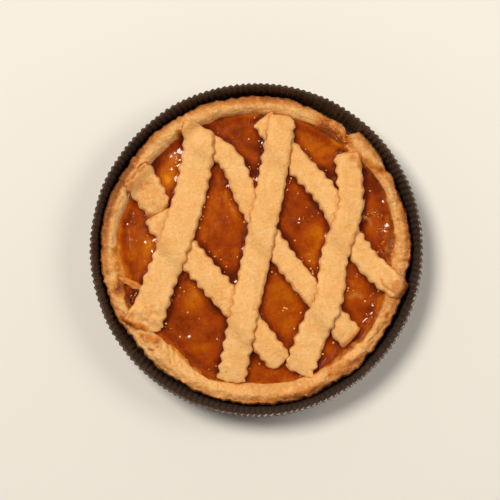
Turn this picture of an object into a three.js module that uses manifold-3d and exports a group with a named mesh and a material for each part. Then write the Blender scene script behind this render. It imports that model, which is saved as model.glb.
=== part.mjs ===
// A lemon crostata in its fluted paper baking case: a round shortcrust shell with a thick uneven
// rim, a layer of lemon filling, and a lattice of wavy-edged dough strips laid over it.
// Millimetres, +Z up. The origin is the middle of the case's underside.
import * as THREE from "three";
import { mergeVertices } from "three/addons/utils/BufferGeometryUtils.js";
import ManifoldModule from "manifold-3d";

const solids = await ManifoldModule();
solids.setup();

// Driving dimensions.
const bakingCase = {
  floorRadius: 103,
  wallTopRadius: 108.8,
  beadRadius: 0.9,
  height: 27,
  paper: 0.7,
  flutes: 168,
  fluteDepth: 1.1,
  fluteDepthAtFloor: 0.4,
};
const crust = {
  segments: 112,
  underside: 1,
  footRadius: 100.4,
  flareHeight: 6.5,
  widestRadius: 102.5,
  widestHeight: 12.5,
  mostRadius: 104.1,
  ridgeInset: 6.6,
  ridgeHeight: 19.2,
  innerSlope: 3.4,
  innerRadius: 90.3,
  easeRadius: 1.5,
  easeHeight: 8,
  floorInset: 4.5,
  floorTop: 6,
};
const filling = {
  segments: 112,
  underside: 6.4,
  top: 11.5,
  relief: 0.3,
  clearance: 0.5,
  easeRadius: 1.6,
  easeHeight: 8.2,
  undersideInset: 4.6,
};
const dough = {
  thickness: 4,
  crown: 0.25,
  waveDepth: 0.8,
  wavePitch: 8.2,
  fullWaveWidth: 12,
  gap: 0.4,
  drape: 7,
  roundEnd: 1.6,
  bridge: 2.5,
  pinch: 0.55,
  pinchLength: 11,
};

// The rim's own bulges, notches and thick places: degrees from +X, spread in degrees, millimetres.
const outlineSwells = [
  { at: 3, spread: 9, rise: 0.6 },
  { at: 22.5, spread: 3, rise: -1 },
  { at: 46, spread: 6, rise: 2.4 },
  { at: 51.8, spread: 2.2, rise: -4.8 },
  { at: 62, spread: 9, rise: -2.4 },
  { at: 131, spread: 7, rise: 1.2 },
  { at: 163, spread: 12, rise: 1.8 },
  { at: 181, spread: 6, rise: 0.9 },
  { at: 203, spread: 5, rise: 1.2 },
  { at: 218, spread: 8, rise: -1.9 },
  { at: 236, spread: 9, rise: -0.9 },
  { at: 283, spread: 9, rise: 1.1 },
  { at: 309, spread: 5, rise: 0.9 },
  { at: 331, spread: 12, rise: -1.1 },
  { at: 350.5, spread: 2.6, rise: -2.4 },
];
const innerSwells = [
  { at: 0, spread: 9, rise: -5 },
  { at: 24, spread: 9, rise: 2.6 },
  { at: 58, spread: 8, rise: -1 },
  { at: 43, spread: 6, rise: -3.2 },
  { at: 173, spread: 9, rise: 2.8 },
  { at: 190, spread: 5, rise: -2.6 },
  { at: 230, spread: 14, rise: -5.6 },
  { at: 268, spread: 12, rise: -2 },
  { at: 312, spread: 7, rise: -3 },
];
const ridgeSwells = [
  { at: 12, spread: 12, rise: 1 },
  { at: 51, spread: 3, rise: -3.3 },
  { at: 60, spread: 7, rise: -2.4 },
  { at: 75, spread: 14, rise: -1.4 },
  { at: 120, spread: 12, rise: 1.2 },
  { at: 178, spread: 16, rise: 1.1 },
  { at: 240, spread: 14, rise: -0.9 },
  { at: 300, spread: 12, rise: 0.8 },
];

// Strips laid first lie on the filling, and strips laid over them bridge their tops.
const lowerStrips = [
  { name: "strip_under_right", width: 16.5, side: 1, pinched: [1, 1],
    path: [[4, 88], [22.2, 63.6], [46.7, 36.5], [58.7, 14.6], [72, -5.3], [84.5, -17.8], [97, -27.5]] },
  { name: "strip_under_middle", width: 16, side: -1, pinched: [0, 1],
    path: [[-37, 73.5], [-17.6, 59.7], [-5.6, 33.2], [9, 8], [25.5, -14.6], [51.4, -45.1], [63.6, -58.8]] },
  { name: "strip_under_left", width: 18.5, side: 1, pinched: [0, 1],
    path: [[-65.3, 21.5], [-58.4, 11.5], [-39.4, -9.5], [-10.9, -41.8], [17, -76]] },
  { name: "strip_under_left_end", width: 21.5, side: -1, pinched: [0, 0],
    path: [[-79.8, 51], [-71.8, 38.3], [-64.6, 26.6]] },
];
const upperStrips = [
  { name: "strip_over_left", width: 21.3, side: 1, pinched: [1, 1],
    path: [[-38.5, 83.5], [-38.8, 65], [-42.8, 43.1], [-46.1, 29.8], [-54.7, 3.3], [-64, -19.9],
      [-76.3, -52]] },
  { name: "strip_over_middle", width: 19, side: -1, pinched: [1, 1],
    path: [[17.6, 89.5], [10.3, 46.4], [1, 0], [-9, -46.4], [-17, -88]] },
  { name: "strip_over_right", width: 17.2, side: 1, pinched: [1, 1],
    path: [[60, 65], [62, 49.7], [63, 33.2], [61.3, 23.2], [55.4, 6.6], [51.4, -8], [49.4, -26.5],
      [45.4, -39.8], [38.1, -54.4], [27.5, -82.5]] },
];
const sliver = { name: "dough_sliver", width: 4.4, thickness: 2.4, side: 1, pinched: [1, 1],
  path: [[-91, -18.8], [-86, -20.9], [-80.6, -23.6]] };

const degrees = 180 / Math.PI;
const turn = 2 * Math.PI;

// Smooth unevenness round the rim, from a few whole waves whose phases follow the seed.
function ripple(angle, seed, waves) {
  return waves.reduce((sum, [count, height], i) =>
    sum + height * Math.sin(count * angle + seed * (i + 1) * 2.399), 0);
}

function swell(angle, swells) {
  return swells.reduce((sum, { at, spread, rise }) => {
    const away = Math.abs(((angle * degrees - at + 540 + 360) % 360) - 180);
    return sum + rise * Math.exp(-((away / spread) ** 2));
  }, 0);
}

// The crust's section at one angle: radius and height from the middle of the underside, out round
// the rim, and back over the inner floor.
function crustSection(angle) {
  const fine = ripple(angle, 1.3, [[9, 0.35], [17, 0.4], [31, 0.3]]);
  const outline = crust.widestRadius + swell(angle, outlineSwells) + fine;
  const outer = Math.min(outline, crust.mostRadius);
  const inner = crust.innerRadius + swell(angle, innerSwells) + ripple(angle, 2.2, [[7, 0.5], [13, 0.6]]);
  const lump = ripple(angle, 3.1, [[11, 0.4], [19, 0.45]]);
  const ridge = crust.ridgeHeight + swell(angle, ridgeSwells) + lump;
  const crest = Math.max(outer - crust.ridgeInset + 0.6 * fine, inner + crust.innerSlope);
  const shoulder = ripple(angle, 0.7, [[14, 0.35], [23, 0.3]]);
  return [
    [0, crust.underside],
    [crust.footRadius, crust.underside],
    [Math.min(outer - 0.5, crust.footRadius + 1.8), crust.flareHeight],
    [outer, crust.widestHeight + shoulder],
    [outer - 1, 0.5 * (crust.widestHeight + ridge) + 1.1 + shoulder],
    [0.55 * outer + 0.45 * crest, ridge - 1.2 + shoulder],
    [crest, ridge],
    [0.55 * crest + 0.45 * inner, ridge - 1.7 - shoulder],
    [0.2 * crest + 0.8 * inner, 0.45 * ridge + 0.55 * filling.top],
    [inner, filling.top],
    [inner - crust.easeRadius, crust.easeHeight],
    [inner - crust.floorInset, crust.floorTop],
    [0, crust.floorTop],
  ];
}
const ridgeIndex = 6;
const innerEdgeIndex = 9;
const innerFloorIndex = 11;

// The height of the crust's upper surface, from its inner floor to the outside of its ridge.
function crustTop(x, y) {
  const section = crustSection(Math.atan2(y, x));
  const radius = Math.hypot(x, y);
  for (let i = innerFloorIndex; i > ridgeIndex - 3; i -= 1) {
    const [nearRadius, nearHeight] = section[i];
    const [farRadius, farHeight] = section[i - 1];
    if (radius >= nearRadius && radius <= farRadius) {
      const share = (radius - nearRadius) / (farRadius - nearRadius);
      return nearHeight + share * (farHeight - nearHeight);
    }
  }
  return radius < section[innerFloorIndex][0] ? crust.floorTop : crust.widestHeight;
}

// A closed turned body whose section may change with the angle: section(angle, segment) gives
// radius and height pairs from the axis back to the axis.
function turnedBody(section, segments) {
  const first = section(0, 0);
  const points = first.map(([radius, height]) => new THREE.Vector2(radius, height));
  const geometry = new THREE.LatheGeometry(points, segments);
  const position = geometry.getAttribute("position");
  for (let segment = 0; segment <= segments; segment += 1) {
    const angle = (turn * (segment % segments)) / segments;
    section(angle, segment % segments).forEach(([radius, height], i) => {
      const vertex = segment * first.length + i;
      position.setXYZ(vertex, radius * Math.cos(angle), radius * Math.sin(angle), height);
    });
  }
  return geometry;
}

function caseGeometry() {
  const { floorRadius, wallTopRadius, beadRadius, height, paper } = bakingCase;
  const wallTop = height - 2 * beadRadius;
  const section = (angle, segment) => {
    const side = segment % 2 ? 0.5 : -0.5;
    const foot = side * bakingCase.fluteDepthAtFloor;
    const top = side * bakingCase.fluteDepth;
    return [
      [0, 0],
      [floorRadius + foot, 0],
      [wallTopRadius + top, wallTop],
      [wallTopRadius + 1.4 * beadRadius + top, height - beadRadius],
      [wallTopRadius - paper + top, height],
      [floorRadius - paper + foot, paper],
      [0, paper],
    ];
  };
  return turnedBody(section, 2 * bakingCase.flutes);
}

function crustGeometry() {
  return turnedBody(crustSection, crust.segments);
}

function fillingGeometry() {
  const section = (angle) => {
    const edge = crustSection(angle)[innerEdgeIndex][0] - filling.clearance;
    const relief = (share) => filling.relief * ripple(angle, 5 * share, [[3, 0.6], [5, 0.4]]);
    return [
      [0, filling.underside],
      [edge - filling.undersideInset, filling.underside],
      [edge - filling.easeRadius, filling.easeHeight],
      [edge, filling.top],
      ...[0.85, 0.45].map((share) => [share * edge, filling.top + relief(share)]),
      [0, filling.top],
    ];
  };
  return turnedBody(section, filling.segments);
}

// The upper surface that the first strips lie on: the filling, and the crust's rim at their ends.
// It is a mean taken round each point, because soft dough rounds off the hollows below it.
function bed(x, y) {
  const around = Array.from({ length: 8 }, (_, i) =>
    crustTop(x + dough.bridge * Math.cos(i * turn / 8), y + dough.bridge * Math.sin(i * turn / 8)));
  const smooth = around.reduce((sum, height) => sum + Math.max(height, filling.top), 0) / around.length;
  return Math.max(filling.top + filling.relief, crustTop(x, y), smooth) + dough.gap;
}

function curveOf(strip) {
  return new THREE.CatmullRomCurve3(strip.path.map(([x, y]) => new THREE.Vector3(x, y, 0)));
}

// How far a strip laid over others is lifted at a point: whole over a lower strip, and easing off
// over the drape length beside it.
function liftOver(strips) {
  const lines = strips.map((strip) => (
    { points: curveOf(strip).getSpacedPoints(80), half: strip.width / 2 }));
  return (x, y) => Math.max(...lines.map(({ points, half }) => {
    const away = Math.min(...points.map((p) => Math.hypot(p.x - x, p.y - y))) - half - dough.waveDepth;
    const share = THREE.MathUtils.clamp(1 - away / dough.drape, 0, 1);
    return (dough.thickness + dough.gap) * share * share * (3 - 2 * share);
  }));
}

// One strip of rolled dough: a slab bent along its path and lying on the surface that is given.
// Its cut edges zigzag from one cross row to the next, its top is crowned, and an end that is
// pressed into the rim is thinner than the rest.
function stripGeometry(strip, surface) {
  const curve = curveOf(strip);
  const length = curve.getLength();
  const thickness = strip.thickness ?? dough.thickness;
  const steps = 2 * Math.round(length / dough.wavePitch);
  const geometry = new THREE.BoxGeometry(1, 1, 1, steps, 3, 1);
  const position = geometry.getAttribute("position");
  const waveDepth = dough.waveDepth * Math.min(1, strip.width / dough.fullWaveWidth);
  for (let i = 0; i < position.count; i += 1) {
    const along = position.getX(i) + 0.5;
    const across = 2 * position.getY(i);
    const level = position.getZ(i) + 0.5;
    const row = Math.round(along * steps);
    const point = curve.getPointAt(along);
    const tangent = curve.getTangentAt(along);
    const wave = row % 2 ? waveDepth : -waveDepth;
    const half = strip.width / 2 + wave * strip.side * Math.sign(across);
    const cap = row === 0 || row === steps ? Math.sign(along - 0.5) * dough.roundEnd * (1 - across ** 2) : 0;
    const x = point.x - tangent.y * across * half + tangent.x * cap;
    const y = point.y + tangent.x * across * half + tangent.y * cap;
    const toEnds = [along * length, (1 - along) * length];
    const pinch = toEnds.map((distance, end) =>
      strip.pinched[end] * dough.pinch * (1 - THREE.MathUtils.smoothstep(distance, 0, dough.pinchLength)));
    const rise = thickness * level * (1 - Math.max(...pinch)) * (1 - dough.crown * across ** 2);
    position.setXYZ(i, x, y, surface(x, y) + rise);
  }
  return geometry;
}

function solidOf(geometry) {
  const bare = new THREE.BufferGeometry();
  bare.setAttribute("position", geometry.getAttribute("position"));
  bare.setIndex(geometry.getIndex());
  const merged = mergeVertices(bare, 1e-4);
  const mesh = new solids.Mesh({
    numProp: 3,
    vertProperties: new Float32Array(merged.getAttribute("position").array),
    triVerts: new Uint32Array(merged.getIndex().array),
  });
  mesh.merge();
  return new solids.Manifold(mesh);
}

function geometryOf(solid) {
  const mesh = solid.getMesh();
  const geometry = new THREE.BufferGeometry();
  geometry.setAttribute("position", new THREE.BufferAttribute(mesh.vertProperties, 3));
  geometry.setIndex(new THREE.BufferAttribute(mesh.triVerts, 1));
  return geometry;
}

// Soft dough takes the shape of what it lies on, a hair's gap above it.
function pressedOnto(geometry, below) {
  const pressed = below.reduce((solid, under) =>
    solid.subtract(solidOf(under).translate([0, 0, dough.gap])), solidOf(geometry));
  return geometryOf(pressed);
}

// Finishes.
const casePaper = new THREE.MeshStandardMaterial({ color: 0x2c1a12, roughness: 0.45, metalness: 0 });
const bakedCrust = new THREE.MeshStandardMaterial({ color: 0xd9a062, roughness: 0.85, metalness: 0 });
const bakedStrip = new THREE.MeshStandardMaterial({ color: 0xe8b877, roughness: 0.85, metalness: 0 });
const brownedDough = new THREE.MeshStandardMaterial({ color: 0xc47a3a, roughness: 0.8, metalness: 0 });
const lemonFilling = new THREE.MeshStandardMaterial({ color: 0xa04a0c, roughness: 0.15, metalness: 0 });

function piece(name, geometry, material) {
  geometry.computeVertexNormals();
  const mesh = new THREE.Mesh(geometry, material);
  mesh.name = name;
  return mesh;
}

const crostata = new THREE.Group();
crostata.name = "lemon_crostata";
const shell = crustGeometry();
const lemon = fillingGeometry();
crostata.add(piece("baking_case", caseGeometry(), casePaper));
crostata.add(piece("crust", shell, bakedCrust));
crostata.add(piece("lemon_filling", lemon, lemonFilling));
for (const strip of lowerStrips) {
  crostata.add(piece(strip.name, pressedOnto(stripGeometry(strip, bed), [shell, lemon]), bakedStrip));
}
const lift = liftOver(lowerStrips);
const overlaid = (x, y) => bed(x, y) + lift(x, y);
const widened = lowerStrips.map((strip) =>
  stripGeometry({ ...strip, width: strip.width + 2 * dough.gap }, bed));
for (const strip of upperStrips) {
  const laid = pressedOnto(stripGeometry(strip, overlaid), [shell, lemon, ...widened]);
  crostata.add(piece(strip.name, laid, bakedStrip));
}
crostata.add(piece(sliver.name, pressedOnto(stripGeometry(sliver, bed), [shell, lemon]), brownedDough));

export default crostata;
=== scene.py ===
import math

import bpy
import numpy as np
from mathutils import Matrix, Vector, noise
from mathutils.bvhtree import BVHTree


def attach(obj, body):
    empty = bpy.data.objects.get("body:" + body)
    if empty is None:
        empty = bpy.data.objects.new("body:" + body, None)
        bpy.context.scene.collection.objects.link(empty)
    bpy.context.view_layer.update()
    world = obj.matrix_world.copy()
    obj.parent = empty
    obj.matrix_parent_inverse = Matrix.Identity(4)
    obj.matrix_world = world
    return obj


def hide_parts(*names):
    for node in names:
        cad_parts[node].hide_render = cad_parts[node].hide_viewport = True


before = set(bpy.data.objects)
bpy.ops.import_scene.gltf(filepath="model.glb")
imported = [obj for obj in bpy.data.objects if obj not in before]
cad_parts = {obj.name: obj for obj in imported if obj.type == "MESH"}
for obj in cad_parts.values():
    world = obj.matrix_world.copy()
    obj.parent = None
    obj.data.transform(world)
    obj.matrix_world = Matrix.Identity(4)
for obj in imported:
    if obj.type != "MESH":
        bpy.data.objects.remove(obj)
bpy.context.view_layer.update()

mm = 0.001  # sizes below are in millimetres, meshes are in metres
turn = 2 * math.pi

# camera, floor and lights
view = {
    "middle": (-4.3, 0),  # the point under the camera
    "plane": 18,  # height of the crust's top, where the picture's width is measured
    "distance": 1200,
    "pictureWidth": 331.5,
    "sensor": 36,
}
studio = {
    "floorColour": (0.8, 0.775, 0.73),
    "skyColour": (1, 0.955, 0.9),
    # the sky's strength and the height, from 0 to 1, where it starts and ends to fade
    "skyAtHorizon": 0.8,
    "skyOverhead": 0.05,
    "skyFade": (0.12, 0.7),
    "lightsAimAt": (0, 0, 0.01),
    # place in metres, size, power and colour
    "lights": {
        "keyLight": ((-0.85, 0.8, 2.05), 0.9, 47.5, (1, 0.935, 0.84)),
        "fillLight": ((0.8, 0.3, 0.95), 0.6, 5.1, (1, 0.94, 0.86)),
    },
}


def mode(name):
    bpy.ops.object.mode_set(mode=name)


def clearSelection():
    if bpy.context.object and bpy.context.object.mode != "OBJECT":
        mode("OBJECT")
    bpy.ops.object.select_all(action="DESELECT")


def selectOnly(pieces):
    clearSelection()
    for piece in pieces:
        piece.select_set(True)
    bpy.context.view_layer.objects.active = pieces[0]


def added(operator, name, location=(0, 0, 0), **settings):
    clearSelection()
    operator(location=location, **settings)
    piece = bpy.context.object
    piece.name = name
    return piece


def addCamera():
    x, y = view["middle"]
    height = view["plane"] + view["distance"]
    bpy.ops.object.camera_add(location=(x * mm, y * mm, height * mm), rotation=(0, 0, 0))
    camera = bpy.context.object
    camera.name = "topCamera"
    camera.data.sensor_width = view["sensor"]
    camera.data.lens = view["sensor"] * view["distance"] / view["pictureWidth"]
    camera.data.clip_start = 0.01
    bpy.context.scene.camera = camera


def addLight(name, place, size, power, colour):
    bpy.ops.object.light_add(type="AREA", location=place)
    light = bpy.context.object
    light.name = name
    light.rotation_euler = (Vector(studio["lightsAimAt"]) - Vector(place)).to_track_quat("-Z", "Y").to_euler()
    light.data.shape = "DISK"
    light.data.size = size
    light.data.energy = power
    light.data.color = colour


def addSky():
    # bright round the horizon and dark overhead, so that wet surfaces keep their depth from above
    world = bpy.data.worlds.new("softSky")
    bpy.context.scene.world = world
    sky = Finish(world)
    parts = sky.node("ShaderNodeSeparateXYZ", None, {0: sky.places["Generated"]})
    fadeStart, fadeEnd = studio["skyFade"]
    strength = sky.value("ShaderNodeMapRange", {"interpolation_type": "SMOOTHSTEP"}, {
        "Value": parts.outputs["Z"], "From Min": fadeStart, "From Max": fadeEnd,
        "To Min": studio["skyAtHorizon"], "To Max": studio["skyOverhead"]})
    light = sky.node("ShaderNodeBackground", None, {"Color": studio["skyColour"], "Strength": strength})
    sky.node("ShaderNodeOutputWorld", None, {"Surface": light.outputs[0]})


# shader maths as plain expressions
def mathsNode(operation, swapped=False):
    # a method that adds one Math node
    def method(self, other):
        first, second = (other, self) if swapped else (self, other)
        return self.finish.value("ShaderNodeMath", {"operation": operation}, {0: first, 1: second})
    return method


class Value:
    # a socket that adds Math nodes as it is used in an expression
    def __init__(self, finish, socket):
        self.finish = finish
        self.socket = socket

    __add__ = mathsNode("ADD")
    __radd__ = mathsNode("ADD", True)
    __sub__ = mathsNode("SUBTRACT")
    __rsub__ = mathsNode("SUBTRACT", True)
    __mul__ = mathsNode("MULTIPLY")
    __rmul__ = mathsNode("MULTIPLY", True)

    def clamped(self):
        total = self + 0.0
        total.socket.node.use_clamp = True
        return total

    def between(self, low, high):
        # 0 below low, 1 above high, smooth in between
        return self.finish.value("ShaderNodeMapRange", {"interpolation_type": "SMOOTHSTEP"},
                                 {"Value": self, "From Min": low, "From Max": high})


class Finish:
    # the nodes of one procedural material, or of the sky
    def __init__(self, owner):
        owner.use_nodes = True
        self.owner = owner
        self.tree = owner.node_tree
        self.tree.nodes.clear()
        self.places = self.node("ShaderNodeTexCoord").outputs

    def node(self, kind, settings=None, inputs=None):
        node = self.tree.nodes.new(kind)
        for key, value in (settings or {}).items():
            if key == "stops":
                self.setStops(node.color_ramp, value)
            else:
                setattr(node, key, value)
        for key, value in (inputs or {}).items():
            socket = node.inputs[key]
            if isinstance(value, Value):
                value = value.socket
            if isinstance(value, bpy.types.NodeSocket):
                self.tree.links.new(value, socket)
            elif socket.type == "RGBA":
                socket.default_value = (*value, 1.0)
            else:
                socket.default_value = value
        return node

    def setStops(self, ramp, stops):
        while len(ramp.elements) < len(stops):
            ramp.elements.new(1.0)
        for element, (position, colour) in zip(ramp.elements, stops):
            element.position = position
            element.color = (*colour, 1.0)

    def value(self, kind, settings=None, inputs=None, output=0):
        return Value(self, self.node(kind, settings, inputs).outputs[output])

    def grain(self, size, detail=3, roughness=0.55, distortion=0, offset=(0, 0, 0), stretch=(1, 1, 1)):
        # noise whose features are about size millimetres across
        place = self.node("ShaderNodeMapping", None, {
            "Vector": self.places["Object"], "Location": offset, "Scale": stretch})
        return self.value("ShaderNodeTexNoise", None, {
            "Vector": place.outputs[0], "Scale": 1000 / size, "Detail": detail,
            "Roughness": roughness, "Distortion": distortion})

    def painted(self, name):
        # a number kept on the piece's own vertices
        return self.value("ShaderNodeAttribute", {"attribute_name": name}, output="Fac")

    def mix(self, share, first, second, blend="MIX"):
        settings = {"data_type": "RGBA", "blend_type": blend}
        return self.node("ShaderNodeMix", settings, {0: share, 6: first, 7: second}).outputs[2]

    def ramp(self, share, stops):
        return self.node("ShaderNodeValToRGB", {"stops": stops}, {"Fac": share}).outputs[0]

    def bump(self, height, distance, strength):
        inputs = {"Height": height, "Distance": distance * mm, "Strength": strength}
        return self.node("ShaderNodeBump", None, inputs).outputs[0]

    def finishWith(self, inputs):
        shader = self.node("ShaderNodeBsdfPrincipled", None, inputs)
        self.node("ShaderNodeOutputMaterial", None, {"Surface": shader.outputs[0]})
        return self.owner


# mesh helpers
def pointsOf(piece):
    places = np.empty(len(piece.data.vertices) * 3)
    piece.data.vertices.foreach_get("co", places)
    return places.reshape(-1, 3) / mm


def setPoints(piece, places):
    piece.data.vertices.foreach_set("co", (places * mm).ravel())
    piece.data.update()


def paint(piece, **layers):
    # numbers kept on the vertices, for the finishes
    for name, numbers in layers.items():
        layer = piece.data.attributes.new(name, "FLOAT", "POINT")
        layer.data.foreach_set("value", np.ascontiguousarray(numbers, dtype=np.float32))


def roundPlaces(radius, angle, rise):
    return np.column_stack([radius * np.cos(angle), radius * np.sin(angle), rise])


def smoothstep(value, low, high):
    share = np.clip((value - low) / (high - low), 0, 1)
    return share * share * (3 - 2 * share)


def lumps(places, size, seed=0):
    # smooth noise from -1 to 1 with features about size millimetres across
    shift = Vector((seed * 17.3, seed * 5.1, seed * 9.7))
    return np.array([noise.noise(Vector(place) / size + shift) for place in places])


def smoothPath(points, count):
    # evenly spaced points on a smooth curve through the given ones
    keys = np.array(points, dtype=float)
    keys = np.vstack([2 * keys[0] - keys[1], keys, 2 * keys[-1] - keys[-2]])
    fine = []
    for before, start, end, after in zip(keys[:-3], keys[1:-2], keys[2:-1], keys[3:]):
        t = np.linspace(0, 1, 40, endpoint=False)[:, None]
        fine.append(0.5 * (2 * start + (end - before) * t
                           + (2 * before - 5 * start + 4 * end - after) * t ** 2
                           + (3 * start - before - 3 * end + after) * t ** 3))
    fine = np.vstack(fine + [keys[-2:-1]])
    run = np.concatenate([[0], np.cumsum(np.hypot(*np.diff(fine[:, :2], axis=0).T))])
    even = np.linspace(0, run[-1], count)
    return np.column_stack([np.interp(even, run, column) for column in fine.T]), run[-1]


def awayFrom(places, path):
    # distance in plan from each place to a line of points
    nearest = np.full(len(places), 1e9)
    for start, end in zip(path[:-1] or path, path[1:] or path):
        start, end = np.array(start, dtype=float), np.array(end, dtype=float)
        along = end - start
        share = np.clip(((places[:, :2] - start) @ along) / max(along @ along, 1e-9), 0, 1)
        nearest = np.minimum(nearest, np.hypot(*(places[:, :2] - start - share[:, None] * along).T))
    return nearest


def touched(places, marks, border):
    # for each mark of (path, reach, amount), its amount at each place
    for path, reach, amount in marks:
        yield amount * np.exp(-((awayFrom(places, path) + border) / reach) ** 2)


def traces(places, marks, ragged=0, seed=0):
    # the strongest mark at each place, with ragged borders
    border = ragged * lumps(places, 3.5, seed) if ragged else 0.0
    return np.maximum.reduce([np.zeros(len(places)), *touched(places, marks, border)])


def pressed(places, marks, seed=0):
    # how far all the marks together raise or lower each place
    return sum(touched(places, marks, 0.5 * lumps(places, 4.0, seed)), np.zeros(len(places)))


def hills(places, spots):
    # the sum of round swells of (x, y, reach, height)
    x, y = places[:, 0], places[:, 1]
    return sum(high * np.exp(-((x - a) ** 2 + (y - b) ** 2) / reach ** 2) for a, b, reach, high in spots)


def cutEvenly(piece, axis, cuts):
    # cuts every edge that runs along one axis, as parallel cuts right round the piece
    mode("EDIT")
    bpy.ops.mesh.select_mode(type="EDGE")
    bpy.ops.mesh.select_all(action="DESELECT")
    mode("OBJECT")
    mesh = piece.data
    for edge in mesh.edges:
        a, b = (mesh.vertices[i].co for i in edge.vertices)
        run = b - a
        edge.select = abs(run[axis]) > 0.99 * run.length
    mode("EDIT")
    bpy.ops.mesh.subdivide(number_cuts=cuts)
    mode("OBJECT")


def ringedBlank(name, segments, rings, radius):
    # a cylinder cut into rings, with the ring and the segment of each vertex
    height = 20.0
    piece = added(bpy.ops.mesh.primitive_cylinder_add, name, (0, 0, height * mm / 2), vertices=segments,
                  radius=radius * mm, depth=height * mm, end_fill_type="NGON")
    bpy.ops.object.transform_apply(location=True)
    cutEvenly(piece, 2, rings - 2)
    x, y, z = pointsOf(piece).T
    segment = np.round(np.arctan2(y, x) / turn * segments).astype(int) % segments
    return piece, np.round(z / height * (rings - 1)).astype(int), segment


def dress(piece, finish, degrees):
    # edges sharper than these degrees stay sharp
    selectOnly([piece])
    bpy.ops.object.shade_smooth_by_angle(angle=math.radians(degrees))
    piece.data.materials.append(finish)


# the surface that things lie on, as a map seen from above
mapStep = 0.75
mapHalf = 112.5
mapAxis = np.arange(-mapHalf, mapHalf + mapStep, mapStep)


def topMap(pieces):
    heights = np.zeros((len(mapAxis), len(mapAxis)))
    graph = bpy.context.evaluated_depsgraph_get()
    down = Vector((0, 0, -1))
    for piece in pieces:
        tree = BVHTree.FromObject(piece, graph)
        low, high = piece.bound_box[0], piece.bound_box[6]
        for i, x in enumerate(mapAxis):
            if not low[0] <= x * mm <= high[0]:
                continue
            for j, y in enumerate(mapAxis):
                if low[1] <= y * mm <= high[1]:
                    hit = tree.ray_cast(Vector((x * mm, y * mm, 0.05)), down)[0]
                    if hit:
                        heights[i, j] = max(heights[i, j], hit.z / mm)
    return heights


def blurred(heights, reach):
    kernel = np.exp(-0.5 * (np.arange(-3 * reach, 3 * reach + mapStep, mapStep) / reach) ** 2)
    kernel /= kernel.sum()
    pad = len(kernel) // 2
    for axis in (0, 1):
        wide = np.pad(heights, [(pad, pad) if a == axis else (0, 0) for a in (0, 1)], mode="edge")
        heights = np.apply_along_axis(lambda line: np.convolve(line, kernel, "valid"), axis, wide)
        heights = heights[:len(mapAxis), :len(mapAxis)]
    return heights


def spread(heights, reach):
    # the highest point within reach of each point
    steps = int(round(reach / mapStep))
    result = heights.copy()
    for i in range(-steps, steps + 1):
        for j in range(-steps, steps + 1):
            if i * i + j * j <= steps * steps:
                result = np.maximum(result, np.roll(heights, (i, j), (0, 1)))
    return result


def readMap(heights, places):
    spot = np.clip((places[:, :2] + mapHalf) / mapStep, 0, len(mapAxis) - 1.001)
    whole = spot.astype(int)
    part = spot - whole
    i, j = whole.T
    u, v = part.T
    return ((1 - u) * (1 - v) * heights[i, j] + u * (1 - v) * heights[i + 1, j]
            + (1 - u) * v * heights[i, j + 1] + u * v * heights[i + 1, j + 1])


def readAt(heights, x, y):
    return readMap(heights, np.array([(x, y)]))[0]


# finishes
dough = {
    "floury": (0.92, 0.65, 0.325),
    "pale": (0.87, 0.52, 0.205),
    "golden": (0.79, 0.38, 0.102),
    "rust": (0.63, 0.225, 0.048),
    # dark brown of toasted dough, also used to paint shade in cracks and the shadowed outer band
    "toastedAndShaded": (0.315, 0.102, 0.025),
    "burnt": (0.13, 0.036, 0.008),
    "glaze": (0.86, 0.56, 0.20),  # what a thin film of syrup lets through
    "syrup": (0.40, 0.095, 0.002),
    "caramel": (0.20, 0.034, 0.001),
    "scatter": (1.6, 0.8, 0.35),  # how far light spreads inside, in millimetres
}
syrup = {
    # the darkest amber: deep jam, painted shade and dark specks
    "deep": (0.095, 0.010, 0.0008),
    "brown": (0.205, 0.025, 0.0008),
    "amber": (0.36, 0.055, 0.0008),
    "bright": (0.52, 0.132, 0.0012),
    "thin": (0.68, 0.25, 0.012),
    "scatter": (2.5, 0.7, 0.1),
}
paper = {
    "brown": (0.046, 0.029, 0.021),
    "wornAndSheen": (0.095, 0.066, 0.052),
}


def softInside(weight, scatter):
    return {"Subsurface Weight": weight, "Subsurface Radius": scatter, "Subsurface Scale": mm}


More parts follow.
